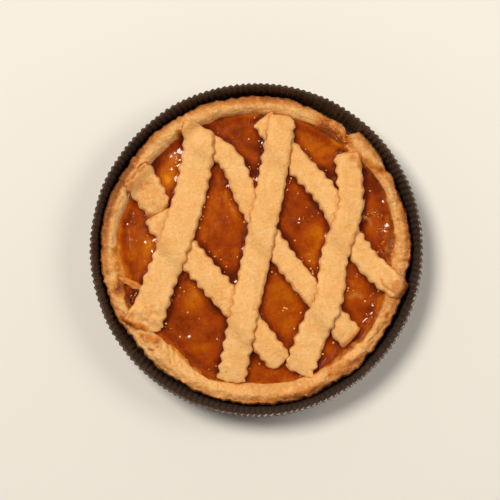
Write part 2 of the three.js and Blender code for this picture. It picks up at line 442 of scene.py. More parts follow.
def doughFinish(name, toast=0, coarse=1):
    finish = Finish(bpy.data.materials.new(name))
    baked, juicy, crack = (finish.painted(layer) for layer in ("baked", "juicy", "crack"))
    broad = finish.grain(17, 3, 0.55, 0.3)
    cloudy = finish.grain(5.5, 4, 0.62, 0.5, (0.03, 0.01, 0))
    fine = finish.grain(1.5, 3, 0.6)
    sandy = finish.grain(2.4, 3, 0.65, 0, (0.3, 0.7, 0.2))
    floury = finish.grain(2.6, 3, 0.6, 0, (0.1, 0.6, 0.4))
    flecks = finish.grain(1.9, 2, 0.5, 0, (0.5, 0.2, 0.1))
    pores = finish.grain(1.3, 1, 0.5, 0, (0.9, 0.3, 0.6))
    tone = (broad - 0.5) * 1.5 + (cloudy - 0.5) * 1.3 + (sandy - 0.5) * 1.3 + (fine - 0.5) * 0.7
    brown = baked * (1 + (cloudy - 0.5) * 1.6 + (sandy - 0.5) * 1.2 + (fine - 0.5) * 0.8)
    colour = dough["pale"]
    # cracks and creases are painted darker: browning and painted shade in them
    for share, shade in (
            ((tone + (toast + 0.4)).clamped(), "golden"), (floury.between(0.55, 0.7) * 0.5, "floury"),
            (brown.between(0.03, 0.52), "rust"), (brown.between(0.42, 0.96), "toastedAndShaded"),
            (brown.between(1.15, 1.7), "burnt"), (flecks.between(0.66, 0.76) * 0.4, "rust"),
            (pores.between(0.7, 0.76) * 0.55, "toastedAndShaded"), (crack.between(0.05, 0.7) * 0.5, "rust"),
            (crack.between(0.5, 1.1) * 0.75, "toastedAndShaded")):
        colour = finish.mix(share, colour, dough[shade])
    wet = juicy * (1 + (cloudy - 0.5) * 1.1 + (fine - 0.5) * 0.5)
    colour = finish.mix(wet.between(0.05, 0.5), colour, dough["glaze"], "MULTIPLY")
    sticky = finish.mix(cloudy.between(0.35, 0.7), dough["syrup"], dough["caramel"])
    colour = finish.mix(wet.between(0.45, 1.05), colour, sticky)
    wet = wet.between(0.15, 0.75)
    relief = cloudy * 0.5 + sandy * 0.5 + fine * 0.5 + finish.grain(0.8, 2) * 0.3
    normal = finish.bump(relief, 1.4 * coarse, 0.8)
    return finish.finishWith({
        "Base Color": colour, "Roughness": 0.82 - wet * 0.42, "Normal": normal, "IOR": 1.42,
        "Coat Weight": wet * 0.45, "Coat Roughness": 0.14, "Specular IOR Level": 0.22,
        **softInside(0.22, dough["scatter"])})


def fillingFinish():
    finish = Finish(bpy.data.materials.new("lemonFilling"))
    # the painted darkness: deep jam, and painted shade by the rim and the strips
    shade = finish.painted("deep")
    pale = finish.painted("pale")
    broad = finish.grain(24, 2, 0.5, 0.8)
    cloudy = finish.grain(7, 4, 0.62, 1.4, (0.2, 0.4, 0))
    drawn = finish.grain(3.2, 3, 0.6, 2, (0.6, 0.1, 0.2), (1, 0.35, 1))
    fine = finish.grain(1.2, 2)
    tone = 0.55 + (broad - 0.5) * 1.2 + (cloudy - 0.5) * 0.5 + (drawn - 0.5) * 0.3 + (fine - 0.5) * 0.1
    tone = tone - shade * 0.75
    colour = finish.ramp(tone.clamped(), [
        (0, syrup["deep"]), (0.25, syrup["brown"]), (0.52, syrup["amber"]),
        (0.85, syrup["bright"]), (1, syrup["thin"])])
    colour = finish.mix(pale.between(0.15, 0.9) * 0.45, colour, dough["golden"])
    specks = finish.grain(1.9, 1, 0.5, 0, (0.7, 0.1, 0.3)).between(0.71, 0.76)
    colour = finish.mix(specks * 0.75, colour, syrup["deep"])
    relief = cloudy * 0.5 + drawn * 0.3 + finish.grain(2.2, 3, 0.6, 0.5) * 0.2
    normal = finish.bump(relief, 0.8, 0.5)
    return finish.finishWith({
        "Base Color": colour, "Roughness": 0.22, "Normal": normal, "IOR": 1.42, "Specular IOR Level": 0.12,
        "Coat Weight": 1, "Coat Roughness": 0.035, "Coat IOR": 1.42, **softInside(0.3, syrup["scatter"])})


def bubbleFinish():
    finish = Finish(bpy.data.materials.new("syrupBubble"))
    cloudy = finish.grain(4, 2)
    colour = finish.mix(cloudy.between(0.35, 0.65), syrup["amber"], syrup["bright"])
    return finish.finishWith({
        "Base Color": colour, "Roughness": 0.15, "IOR": 1.42, "Specular IOR Level": 0.3,
        "Coat Weight": 1, "Coat Roughness": 0.05, **softInside(0.3, syrup["scatter"])})


def paperFinish():
    finish = Finish(bpy.data.materials.new("bakingPaper"))
    cloudy = finish.grain(9, 4, 0.6)
    fibre = finish.grain(0.8, 3, 0.6)
    wornAndSheen = finish.painted("ridge")
    # the pleat crests are painted lighter: wear and painted sheen
    colour = finish.mix((wornAndSheen * 0.7 + (cloudy - 0.5)).clamped(), paper["brown"], paper["wornAndSheen"])
    normal = finish.bump(fibre * 0.4 + cloudy * 0.3, 0.35, 0.5)
    rough = 0.27 + (cloudy - 0.5) * 0.35
    return finish.finishWith({
        "Base Color": colour, "Roughness": rough, "Normal": normal, "IOR": 1.5, "Specular IOR Level": 0.55})


# baking case
bakingCase = {
    "floorRadius": 103,
    "wallTopRadius": 108.8,
    "height": 27,
    "paper": 0.7,
    "rollWidth": 1.25,
    "flutes": 168,
    "segmentsPerFlute": 8,
    "fluteDepth": 0.5,
    "fluteDepthAtFloor": 0.12,
    "slack": 0.5,
}


def makeCase():
    s = bakingCase
    top, floor, height = s["wallTopRadius"], s["floorRadius"], s["height"]
    sheet, roll = s["paper"], s["rollWidth"]
    lean, climb = top - floor, height - 2.6
    # the wall's line: up the outside, over the rolled rim, down the inside to the floor
    line = [(floor - 1.2, 0), (floor - 0.4, 0.15), (floor, 0.6)]
    line += [(floor + lean * t, 0.6 + climb * t) for t in np.linspace(0.1, 1, 10)]
    for t in np.linspace(0.1, 1, 5):
        bend = 0.5 * math.pi * t
        out, up = 0.5 * roll * (1 - math.cos(bend)), 1.1 * math.sin(bend)
        line.append((top + 0.1 + out, height - 2 + 0.9 * t + up))
    line += [(top - 0.1, height - 0.02), (top - sheet, height - 0.5)]
    line += [(floor - sheet + lean * t, sheet + 0.5 + climb * t) for t in np.linspace(0.97, 0.06, 9)]
    line += [(floor - sheet - 0.6, sheet + 0.1), (floor - sheet - 1.4, sheet)]
    line = np.array(line)
    segments = s["flutes"] * s["segmentsPerFlute"]
    piece, ring, segment = ringedBlank("fluted_case", segments, len(line), top)
    angle = segment * turn / segments
    radius, rise = line[ring].T
    share = np.clip(rise / height, 0, 1)
    depth = s["fluteDepthAtFloor"] + (s["fluteDepth"] - s["fluteDepthAtFloor"]) * smoothstep(share, 0.0, 0.7)
    depth = depth * smoothstep(rise, 0.1, 3.0)
    beat = angle * s["flutes"]
    uneven = roundPlaces(40, angle, share * 3)
    crease = np.sin(beat + 1.3 * lumps(uneven, 5, 1.0)) + 0.2 * np.sin(2 * beat + 1.0)
    crease *= 1 + 0.5 * lumps(uneven, 2.5, 3.0)
    slack = s["slack"] * lumps(uneven, 9, 2.0) * share
    radius = radius + depth * crease + slack * (rise > 1)
    setPoints(piece, roundPlaces(radius, angle, rise))
    # pleat crests, painted lighter in the finish as wear and painted sheen
    paint(piece, ridge=np.clip(0.5 + 0.5 * crease, 0, 1) * smoothstep(share, 0.1, 0.5))
    dress(piece, paperFinish(), 70)
    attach(piece, "root")
    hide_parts("baking_case")


# crust
crust = {
    "segments": 960,
    "rings": 84,
    "underside": 1,
    "footRadius": 100.4,
    "widestRadius": 102.5,
    "mostRadius": 104.3,
    "widestHeight": 12.5,
    "ridgeInset": 6.6,
    "ridgeHeight": 18.9,
    "innerRadius": 90.3,
    "floorTop": 6,
    # swells: degrees from +X, spread in degrees, then millimetres or an amount
    "outline": [(3, 9, 0.6), (22.5, 3, -1), (32, 2, -1.3), (37, 4, 0.8), (46, 6, 2.4), (51.8, 1.9, -4.6),
        (62, 9, -2.4), (131, 7, 1.2), (163, 12, 1.8), (182, 9, 1.7), (203, 5, 1.2), (218, 8, -1.9),
        (236, 9, -0.9), (283, 9, 1.1), (309, 5, 0.9), (331, 12, -1.1), (350.5, 2.4, -2.4)],
    "inner": [(0, 9, -5), (24, 9, 2.6), (43, 6, -3.2), (58, 8, -1), (173, 9, 2.8), (190, 5, -2.6),
        (230, 14, -5.6), (268, 12, -2), (312, 7, -3)],
    "ridge": [(32, 3, -2), (12, 12, 1), (51, 2.5, -3.5), (60, 7, -2.4), (75, 14, -1.4), (120, 12, 1.2),
        (178, 16, -0.6), (240, 14, -0.9), (300, 12, 0.8)],
    # how brown the outside is: toasting, and painted shadow on the outer band at the left and lower right
    "toastingAndShadow": [(149, 16, 1), (172, 12, 0.5), (90, 25, 0.4), (290, 18, 0.5), (12, 16, 0.3)],
    # how orange its whole width is
    "warmth": [(4, 28, 0.2), (334, 10, 0.12), (200, 12, 0.08), (220, 7, -0.12), (275, 25, 0.15),
        (90, 22, 0.15)],
    # how much paler its inner slope is: less baked, and painted light where the slope faces away from the
    # lamp
    "paleAndLitInside": [(175, 35, 0.9), (8, 9, 0.5)],
    # how much lumpier it is here and smoother there
    "crumbly": [(228, 12, 0.7), (10, 18, 0.35), (178, 20, -0.3), (326, 14, -0.4)],
    # syrup that has run up the inner slope
    "runs": [(60, 10, 1.1), (-42, 20, 0.9), (4, 16, 0.9), (36, 12, 0.7), (180, 14, 0.2), (196, 6, 0.5),
        (205, 8, 0.8), (245, 16, 0.6)],
    # marks in plan: points in millimetres, reach, then strength or height
    "cracks": [([(90.5, 18.6), (93, 19.9), (96, 18.9), (99.5, 19.6)], 0.8, 0.75),
        ([(93, -6.2), (95.5, -7.6), (98.4, -6.9), (101.5, -8.2)], 0.8, 0.75),
        ([(91.2, 9.9), (90.2, 5), (91.4, 0), (90.6, -5)], 1, 0.5), ([(92, -12), (95.5, -14.5)], 0.8, 0.5),
        ([(-71.3, -66.3), (-68.6, -66.6), (-65.3, -64.3)], 0.9, 0.9),
        ([(-59.3, -60), (-58.3, -67.6), (-57, -76.9)], 0.8, 0.7),
        ([(-88.2, 43), (-86, 39), (-85.2, 35.5)], 0.9, 0.7),
        ([(57.5, 80.5), (59.5, 76.5), (60.5, 73)], 1.1, 1), ([(84.5, -40.5), (87.5, -43.5)], 1, 0.8),
        ([(-92.5, -39), (-88.5, -41), (-86.5, -44.5)], 0.9, 0.8), ([(60.5, -77), (64, -75)], 1.3, 0.8),
        ([(87, 30), (92, 32.5)], 0.7, 0.5), ([(-84, 58), (-80, 61)], 0.9, 0.5),
        ([(74, -60.5), (80, -56), (85, -50)], 0.8, 0.45), ([(96, 4), (96.5, -3)], 0.7, 0.5)],
    "crackDepth": 1.3,
    "shapes": [([(55, 78), (53, 76)], 3.5, -1.6), ([(64, 73), (74, 62), (80, 55)], 4.5, 1.5),
        ([(-66, -70), (-62, -72)], 3.6, 1.2), ([(-71, -60), (-66, -60)], 3.6, 1), ([(-89, -41)], 2.2, 1.3),
        ([(-93, -36)], 2.4, 0.9), ([(-85.5, -48.5)], 2.2, 1), ([(98.5, 13), (99.5, 4)], 3, 0.9),
        ([(92.5, -13.5), (96.5, -13)], 3, 1.2), ([(90, 12)], 2, 1), ([(89.5, 4.5)], 2.2, 0.9),
        ([(91.5, -3)], 2, 0.8), ([(80, -50), (74, -58)], 3, 0.9), ([(88.5, -38)], 2.6, 1),
        ([(66, -71)], 3, 0.9), ([(-98, 26)], 3.5, 0.8), ([(-97.5, 8)], 4, 0.7), ([(-95, -9)], 3, 0.8),
        ([(-76, 66), (-66, 76)], 3.4, 0.8)],
    # brown marks; the thin line along the upper-left strip's edge and the marks by the outer edge at the left
    # and lower right are painted shadow as much as browning
    "brownedAndShaded": [([(-90.5, 40), (-86.5, 46), (-79, 53.5), (-73, 58)], 1, 0.65),
        ([(-90.5, -26.5), (-89.5, -23)], 2.8, 1),
        ([(-89.2, -45.1), (-82.5, -50.4), (-73.3, -52.4)], 1.3, 0.85), ([(86.5, -43.8)], 3, 0.7),
        ([(80.6, -53)], 2.5, 0.4), ([(75.3, -61.7)], 3, 0.35), ([(49, -81), (56, -79), (62, -75)], 4.5, 0.65),
        ([(-76, -57), (-66, -61)], 2.6, 0.4), ([(58, -82), (63, -77.5), (73, -70.5)], 3.4, 1),
        ([(99, 14), (101, 0)], 3, 0.5), ([(97.5, -6)], 4, 0.45), ([(-51.4, 77.2)], 2.4, 0.7),
        ([(-102.5, 28), (-104, 5), (-102.5, -15)], 2.4, 0.7), ([(-98, 38), (-86, 58), (-70, 75)], 4, 0.5),
        ([(46.7, 89), (56, 83)], 4, 0.4), ([(77, 62)], 3, 0.25), ([(84, 56)], 3, 0.35),
        ([(42, 89), (52, 83.5)], 6, 0.45)],
    "glazed": [([(-92, -27.5), (-90, -20)], 3.8, 0.9),
        ([(-89.2, -45.1), (-82.5, -50.4), (-73.3, -52.4)], 1.6, 0.9),
        ([(-76, -56.5), (-71, -58.5), (-66, -60)], 2.8, 0.45), ([(44, 81), (50, 77), (58, 71.5)], 5, 1.2),
        ([(-93.5, 0), (-92, -9), (-90, -18)], 2.8, 0.65), ([(60, 71), (69, 62.5), (72, 57)], 2, 0.4),
        ([(76, 55.5), (83, 52.5)], 2.6, 0.75), ([(58.7, -66.3)], 2.6, 0.8), ([(90.2, -1)], 3.6, 0.6),
        ([(-51.4, 76.6)], 2.2, 0.8), ([(70, 60.5), (74, 57)], 3, 0.7)],
}


def swell(angle, swells):
    total = np.zeros_like(angle)
    for at, spreadOut, rise in swells:
        away = np.abs((np.degrees(angle) - at + 180) % 360 - 180)
        total += rise * np.exp(-(away / spreadOut) ** 2)
    return total


def roundAbout(angle, size, seed):
    # unevenness that follows the rim round, with features about size millimetres long
    return lumps(roundPlaces(100, angle, 0 * angle), size, seed)


def rimSections(angle):
    # the rim's line at each angle: radius and height at a few keys, made smooth by Hermite curves
    s = crust
    fine = 0.8 * roundAbout(angle, 9, 1) + 0.9 * roundAbout(angle, 4, 2) + 0.55 * roundAbout(angle, 2, 9)
    outer = np.minimum(s["widestRadius"] + swell(angle, s["outline"]) + fine, s["mostRadius"])
    inner = s["innerRadius"] + swell(angle, s["inner"]) + roundAbout(angle, 8, 3)
    ridge = s["ridgeHeight"] + swell(angle, s["ridge"]) + 0.8 * roundAbout(angle, 11, 4)
    ridge += 0.35 * roundAbout(angle, 4, 5)
    crest = np.maximum(outer - s["ridgeInset"] + 1.2 * roundAbout(angle, 13, 6.0), inner + 3.4)
    shoulder = 0.7 * roundAbout(angle, 7, 7.0)
    slope = 0.6 * roundAbout(angle, 6, 8.0)
    gentle = np.clip((crest - inner - 5) / 5, 0, 1)  # a wide inner slope falls gently, a narrow one is steep
    level = filling["level"]
    flat = np.zeros_like(angle)
    keys = np.array([
        (s["footRadius"] - 3 + flat, s["underside"] + flat),
        (s["footRadius"] + flat, s["underside"] + 0.5 + flat),
        (np.minimum(outer - 0.5, s["footRadius"] + 1.5), 5.5 + flat),
        (outer, s["widestHeight"] + shoulder),
        (outer - 1.1 + 0.4 * slope, 0.5 * (s["widestHeight"] + ridge) + 1.3),
        (0.55 * outer + 0.45 * crest, ridge - 1.0 + 0.5 * shoulder),
        (crest, ridge),
        (0.55 * crest + 0.45 * inner, ridge - 1.4 - 1.2 * gentle - slope),
        (0.25 * crest + 0.75 * inner, ridge - (0.54 + 0.1 * gentle) * (ridge - level) + 0.4 * slope),
        (inner, level + flat),
        (inner - 2, 8 + flat),
        (inner - 5, s["floorTop"] + flat),
    ])  # key, radius or height, segment
    keyAt = np.array([0, 3, 9, 20, 28, 37, 46, 55, 65, 73, 78, s["rings"] - 1.0])
    tangents = np.gradient(keys, keyAt, axis=0)
    sections = np.empty((s["rings"], 2, len(angle)))
    for i in range(s["rings"]):
        k = min(np.searchsorted(keyAt, i, side="right") - 1, len(keyAt) - 2)
        gap = keyAt[k + 1] - keyAt[k]
        t = (i - keyAt[k]) / gap
        sections[i] = ((2 * t ** 3 - 3 * t ** 2 + 1) * keys[k] + (t ** 3 - 2 * t ** 2 + t) * gap * tangents[k]
                       + (-2 * t ** 3 + 3 * t ** 2) * keys[k + 1] + (t ** 3 - t ** 2) * gap * tangents[k + 1])
    return sections


def makeCrust():
    s = crust
    piece, ring, segment = ringedBlank("baked_crust", s["segments"], s["rings"], s["widestRadius"])
    sections = rimSections(np.arange(s["segments"]) * turn / s["segments"])
    around = segment * turn / s["segments"]
    places = roundPlaces(sections[ring, 0, segment], around, sections[ring, 1, segment])
    shown = smoothstep(ring, 8, 16) * (1 - smoothstep(ring, 69, 77))  # the part that isn't under or inside
    crags = (0.8 * lumps(places, 8, 11) + 0.4 * lumps(places, 3.6, 12) + 0.3 * lumps(places, 1.7, 13)
             - 0.5 * np.clip(lumps(places, 4.5, 15) - 0.25, 0, 1))
    # crumbly dough: round lumps with a crease between each two
    crumbly = 0.7 + 0.6 * lumps(places, 18, 18) + swell(around, s["crumbly"])
    crags += crumbly * (1.3 * np.abs(lumps(places, 5.5, 19)) + 0.9 * np.abs(lumps(places, 2.6, 20)) - 0.5)
    # cracks are cut in and painted darker, as browning and painted shade in them
    cracks = traces(places, s["cracks"], 1.1, 14)
    hairlines = np.clip(1 - np.abs(lumps(places, 5.5, 19)) / 0.06, 0, 1)
    hairlines *= smoothstep(lumps(places, 13, 17), 0.1, 0.4)
    cracks = np.maximum(cracks, 0.14 * hairlines)
    places[:, 2] += shown * (pressed(places, s["shapes"], 16) - cracks * s["crackDepth"])
    outward = smoothstep(30 - ring, -10, 16)
    places[:, 2] += shown * crags * (1 - 0.6 * outward)
    push = -shown * crags * outward * 0.8
    places[:, 0] += push * np.cos(around)
    places[:, 1] += push * np.sin(around)
    reach = np.hypot(places[:, 0], places[:, 1])
    places[:, :2] *= np.minimum(1, s["mostRadius"] / np.maximum(reach, 1))[:, None]
    setPoints(piece, places)
    # browning: the outer wall, where toasting and painted shadow are painted together, and the crests of the
    # crags
    toastedAndShaded = np.clip(swell(around, s["toastingAndShadow"]), 0, 1)
    reach = reach + 1.3 * lumps(places, 5, 26)
    outside = (0.3 + 0.66 * toastedAndShaded) * smoothstep(reach, 95.6 + 0.8 * toastedAndShaded, 103.5 - 4 * toastedAndShaded)
    bands = 0.5 + 0.5 * lumps(places, 14, 21)
    baked = outside + swell(around, s["warmth"]) + 0.12 * np.clip(crags, 0, 1) * shown + 0.12 * bands
    # painted light: the inner slope is made paler where it faces away from the key light
    baked *= 1 - smoothstep(ring, 47, 58) * np.clip(swell(around, s["paleAndLitInside"]), 0, 1)
    baked = np.maximum(baked, traces(places, s["brownedAndShaded"], 1.4, 23) * (0.7 + 0.3 * bands))
    wetness = swell(around, s["runs"])
    shore = 72 - 20 * np.clip(wetness, 0, 1.1) + 4 * lumps(places, 7, 25)
    juicy = smoothstep(ring, shore - 3, shore + 7) * np.clip(wetness + 0.35, 0, 1)
    juicy = juicy + 0.35 * lumps(places, 6, 22) * juicy
    juicy = np.maximum(juicy, traces(places, s["glazed"], 1.2, 24))
    paint(piece, baked=np.clip(baked, 0, 1.3), juicy=np.clip(juicy, 0, 1), crack=np.clip(cracks, 0, 1))
    dress(piece, doughFinish("bakedCrust", 0.02, 1.5), 80)
    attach(piece, "root")
    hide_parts("crust")
    return piece


# lemon filling
filling = {
    "cells": 270,
    "level": 11.6,
    "underside": 6.4,
    "overlap": 1.4,
    "creep": 0.5,
    "meniscus": 0.4,
    # where it has crept up the rim: degrees, spread in degrees, millimetres
    "climbs": [(178, 14, 0.35), (60, 10, 0.5)],
    # where its edge is thin and golden: degrees, spread in degrees, amount
    "shores": [(173, 12, 1), (187, 6, 0.6), (196, 5, 0.5), (333, 11, 1), (12, 14, 0.8), (48, 9, 0.7),
        (85, 15, 0.5), (245, 22, 0.5), (290, 12, 0.4)],
    # where it boiled up in small lumps: x, y, reach
    "boiled": [(-80, -31, 4), (87, 14, 2.4), (86, 6, 2), (74, -47, 2), (30, 20, 4), (-20, 40, 3),
        (-25, -60, 4)],
    # round swells with one shining side each: x, y, reach, height
    "swells": [(-55.7, 53, 1.3, 0.5), (-52, 54.2, 1.4, 0.55), (-50.6, 59.6, 1.1, 0.3), (-66.6, 4.7, 1.8, 0.8),
        (-69.2, -1.8, 1.4, 0.5), (-73.2, 4.4, 1.3, 0.45), (85.1, 31, 1.5, 0.65), (88.2, 15.8, 1.6, 0.75),
        (86.5, 12, 1.3, 0.5), (78, 25, 1.1, 0.35), (77.9, -38, 1.6, 0.65), (72.8, -48.2, 1.5, 0.6),
        (64.5, -24, 1.1, 0.35)],
    # wrinkles and sunk places: points in millimetres, reach, height
    "wrinkles": [([(-85.2, 16.6), (-84.2, 6.6), (-83.6, -3.3)], 0.9, 0.5),
        ([(-81.5, 24), (-80.5, 14)], 1.2, 0.35), ([(78, 20), (84, 8)], 1.8, 0.3),
        ([(70, 18), (74.5, 21)], 1, 0.35), ([(73, -31), (80, -38), (75, -50)], 2, 0.3),
        ([(66, -30), (70, -33)], 1.8, 0.3), ([(-60, 64), (-52, 68)], 2.2, -0.5), ([(84.5, -1)], 1.3, -1),
        ([(-50, -48), (-46, -56)], 2.4, -0.5)],
    # brighter and darker parts, painted light and shade among them, such as the rim's shadow at the top left
    # and the shade under the right-hand strip: x, y, reach, darkness
    "tonesAndShade": [(-56, 46, 15, -0.5), (-72, 0, 10, -0.3), (-52, -44, 16, 0.25), (-80, -30, 6, 0.4),
        (-84, 4, 5, 0.2), (-83, 20, 6, 0.2), (78, 24, 14, 0.31), (63.5, -18, 8, -0.08),
        (77.5, -27.5, 5, 0.42), (71.5, -39.5, 7.5, 0.42), (30, 20, 20, 0.15), (-67, 61, 8, 0.6)],
    # paler smears where froth has dried: points, reach, strength
    "smears": [([(71.5, 22), (75.5, 20), (76.5, 16.5)], 1.7, 0.55),
        ([(62.5, -31.5), (66.5, -29.5), (70, -31.5)], 2.6, 0.5), ([(-85, 16), (-84, 0)], 0.7, 0.55),
        ([(-82.5, 23), (-82, 12)], 0.6, 0.35)],
}


def makeFilling(strips):
    s = filling
    piece = added(bpy.ops.mesh.primitive_grid_add, "lemon_syrup", size=2,
                  x_subdivisions=s["cells"], y_subdivisions=s["cells"])
    # walls and one flat underside
    mode("EDIT")
    bpy.ops.mesh.select_all(action="SELECT")
    bpy.ops.mesh.region_to_loop()
    bpy.ops.mesh.extrude_edges_move(TRANSFORM_OT_translate={"value": (0, 0, -1)})
    bpy.ops.mesh.edge_face_add()
    mode("OBJECT")
    square = pointsOf(piece) * mm
    u, v = square[:, 0], square[:, 1]
    top = square[:, 2] > -0.5
    places = np.column_stack([u * np.sqrt(1 - v * v / 2), v * np.sqrt(1 - u * u / 2), np.zeros(len(u))])
    share = np.hypot(places[:, 0], places[:, 1])
    angle = np.arctan2(places[:, 1], places[:, 0])
    edge = crust["innerRadius"] + swell(angle, crust["inner"]) + s["overlap"]
    places[:, :2] *= edge[:, None]
    footprint = topMap(strips) > 0
    near = readMap(blurred(footprint.astype(float), 1.7), places)
    close = readMap(blurred(footprint.astype(float), 3.6), places)
    rise = s["level"] + 0.45 * lumps(places, 26, 31) + 0.22 * lumps(places, 8, 32)
    rise += 0.1 * lumps(places, 2.8, 33)
    rise += pressed(places, s["wrinkles"], 35)
    boiled = pressed(places, [([(x, y)], reach, 1) for x, y, reach in s["boiled"]], 39)
    blisters = np.clip(lumps(places, 2.3, 38), 0, 1) + 0.2 * lumps(places, 1.5, 40)
    rise += np.clip(boiled + 0.12, 0, 1) * blisters + hills(places, s["swells"])
    uneven = 0.7 + 0.6 * lumps(places, 5, 34)
    rise += s["meniscus"] * uneven * smoothstep(near, 0.05, 0.7)
    fromRim = edge - share * edge
    rise += (s["creep"] + swell(angle, s["climbs"])) * (1 - smoothstep(fromRim, 1.5, 7))
    places[:, 2] = np.where(top, rise, s["underside"])
    setPoints(piece, places)
    # painted shade: darker in a band near the rim, where the rim's shadow falls, and beside the strips, where
    # they shade it; lighter where the thin edge is golden
    shade = 0.3 * (1 - smoothstep(fromRim, 3, 10)) + 0.6 * smoothstep(close, 0.04, 0.5)
    shore = fromRim + 1.7 * lumps(places, 5, 41)
    shade -= 0.75 * swell(angle, s["shores"]) * (1 - smoothstep(shore, 1.0, 5.6))
    shade += 0.25 * lumps(places, 12, 36) + hills(places, s["tonesAndShade"])
    shade = np.where(top, np.clip(shade, -0.5, 1), 1.0)
    paint(piece, deep=shade, pale=traces(places, s["smears"], 0.8, 37))
    mode("EDIT")
    bpy.ops.mesh.select_all(action="SELECT")
    bpy.ops.mesh.normals_make_consistent(inside=False)
    mode("OBJECT")
    dress(piece, fillingFinish(), 60)
    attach(piece, "root")
    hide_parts("lemon_filling")
    return piece, footprint


# lattice strips
strip = {
    "thickness": 3.9,
    "cell": 0.7,
    "levels": 6,
    "topRound": 2.9,
    "footRound": 0.7,
    "crown": 0.8,
    "sunk": 0.5,
    "wavePitch": 8,
    "waveDepth": 0.85,
    "pinch": 0.45,
    "pinchLength": 11,
    "creaseDepth": 0.8,
    "cornerRound": 1.5,
    "torn": 1.3,
    "pinched": (1, 1),
    "skew": (0, 0),
    "creases": [], "shapes": [], "rumpled": [], "brownedAndShaded": [], "glazed": [],
}
# what one strip has of its own: its path's points are x, y and width, and
# its marks are in plan: points in millimetres, reach, strength or height
lowerStrips = [
    {"name": "right_under_strip", "node": "strip_under_right", "pinched": (1, 0.6), "seed": 1,
     "skew": (0, 0.4), "cornerRound": 0.3, "torn": 0.5,
     "path": [(4, 88, 16), (22.2, 63.6, 16.5), (46.7, 36.5, 16.5), (58.7, 14.6, 16.5), (72, -5.3, 16.3),
        (84.5, -17.8, 16.3), (92, -24, 15.5), (98.6, -28.9, 12.8)],
     "creases": [([(82.5, -19.5), (84.5, -23.5), (88, -26.2), (92, -28.2), (93.2, -32)], 1, 0.9)],
     "shapes": [([(88, -19), (93, -22.5), (97, -26.5)], 4.2, 1.3), ([(85, -26.5)], 2.4, 0.4)],
     "rumpled": [([(92, -22), (97, -27)], 7, 1)],
     "brownedAndShaded": [([(99.5, -23), (98, -27), (95, -31.5)], 3.4, 0.85), ([(93.5, -20), (92, -26)], 5, 0.4)]},
    {"name": "middle_under_strip", "node": "strip_under_middle", "pinched": (0, 0.7), "seed": 2,
     "skew": (0, -1.2), "cornerRound": 0.2, "torn": 0.5, "waveDepth": 0.7,
     "path": [(-37, 73.5, 15), (-17.6, 59.7, 15.5), (-5.6, 33.2, 15.5), (9, 8, 15.5), (25.5, -14.6, 15.5),
        (51.4, -45.1, 16.5), (64, -59.3, 18)],
     "brownedAndShaded": [([(69, -52.5), (57, -65)], 1.8, 0.5)]},
    {"name": "left_under_strip", "node": "strip_under_left", "pinched": (0, 1), "seed": 3,
     "path": [(-66.4, 24.4, 20.5), (-59.5, 14, 19.5), (-39.4, -9.5, 18.5), (-10.9, -41.8, 18),
        (17, -76, 17)],
     "brownedAndShaded": [([(-74.5, 17), (-66, 22.5)], 1.2, 0.3)]},
    {"name": "left_under_end", "node": "strip_under_left_end", "pinched": (0, 0), "seed": 4,
     "skew": (-2.4, -0.5),
     "path": [(-80.6, 52, 22.5), (-71.8, 38.3, 21), (-63.4, 24.8, 18)],
     "creases": [([(-72, 50), (-74.5, 44), (-79, 38.5)], 1.6, 0.2)],
     "shapes": [([(-86, 41.5), (-82.5, 44)], 3.8, 1.5), ([(-76, 51)], 3.5, 0.5), ([(-74, 31)], 3.5, 0.6),
        ([(-66, 34)], 4, 0.4)],
     "brownedAndShaded": [([(-87, 40.5), (-83.5, 43.5)], 4.2, 0.52), ([(-88.5, 40), (-83.5, 34.5)], 1.8, 0.6),
        ([(-74, 23.5), (-68, 23)], 2, 0.45), ([(-79, 46), (-67, 32)], 13, 0.22),
        ([(-87.5, 44), (-79, 51), (-73, 56.5)], 1.2, 0.6), ([(-78, 42), (-71, 45)], 4, 0.35)]},
]
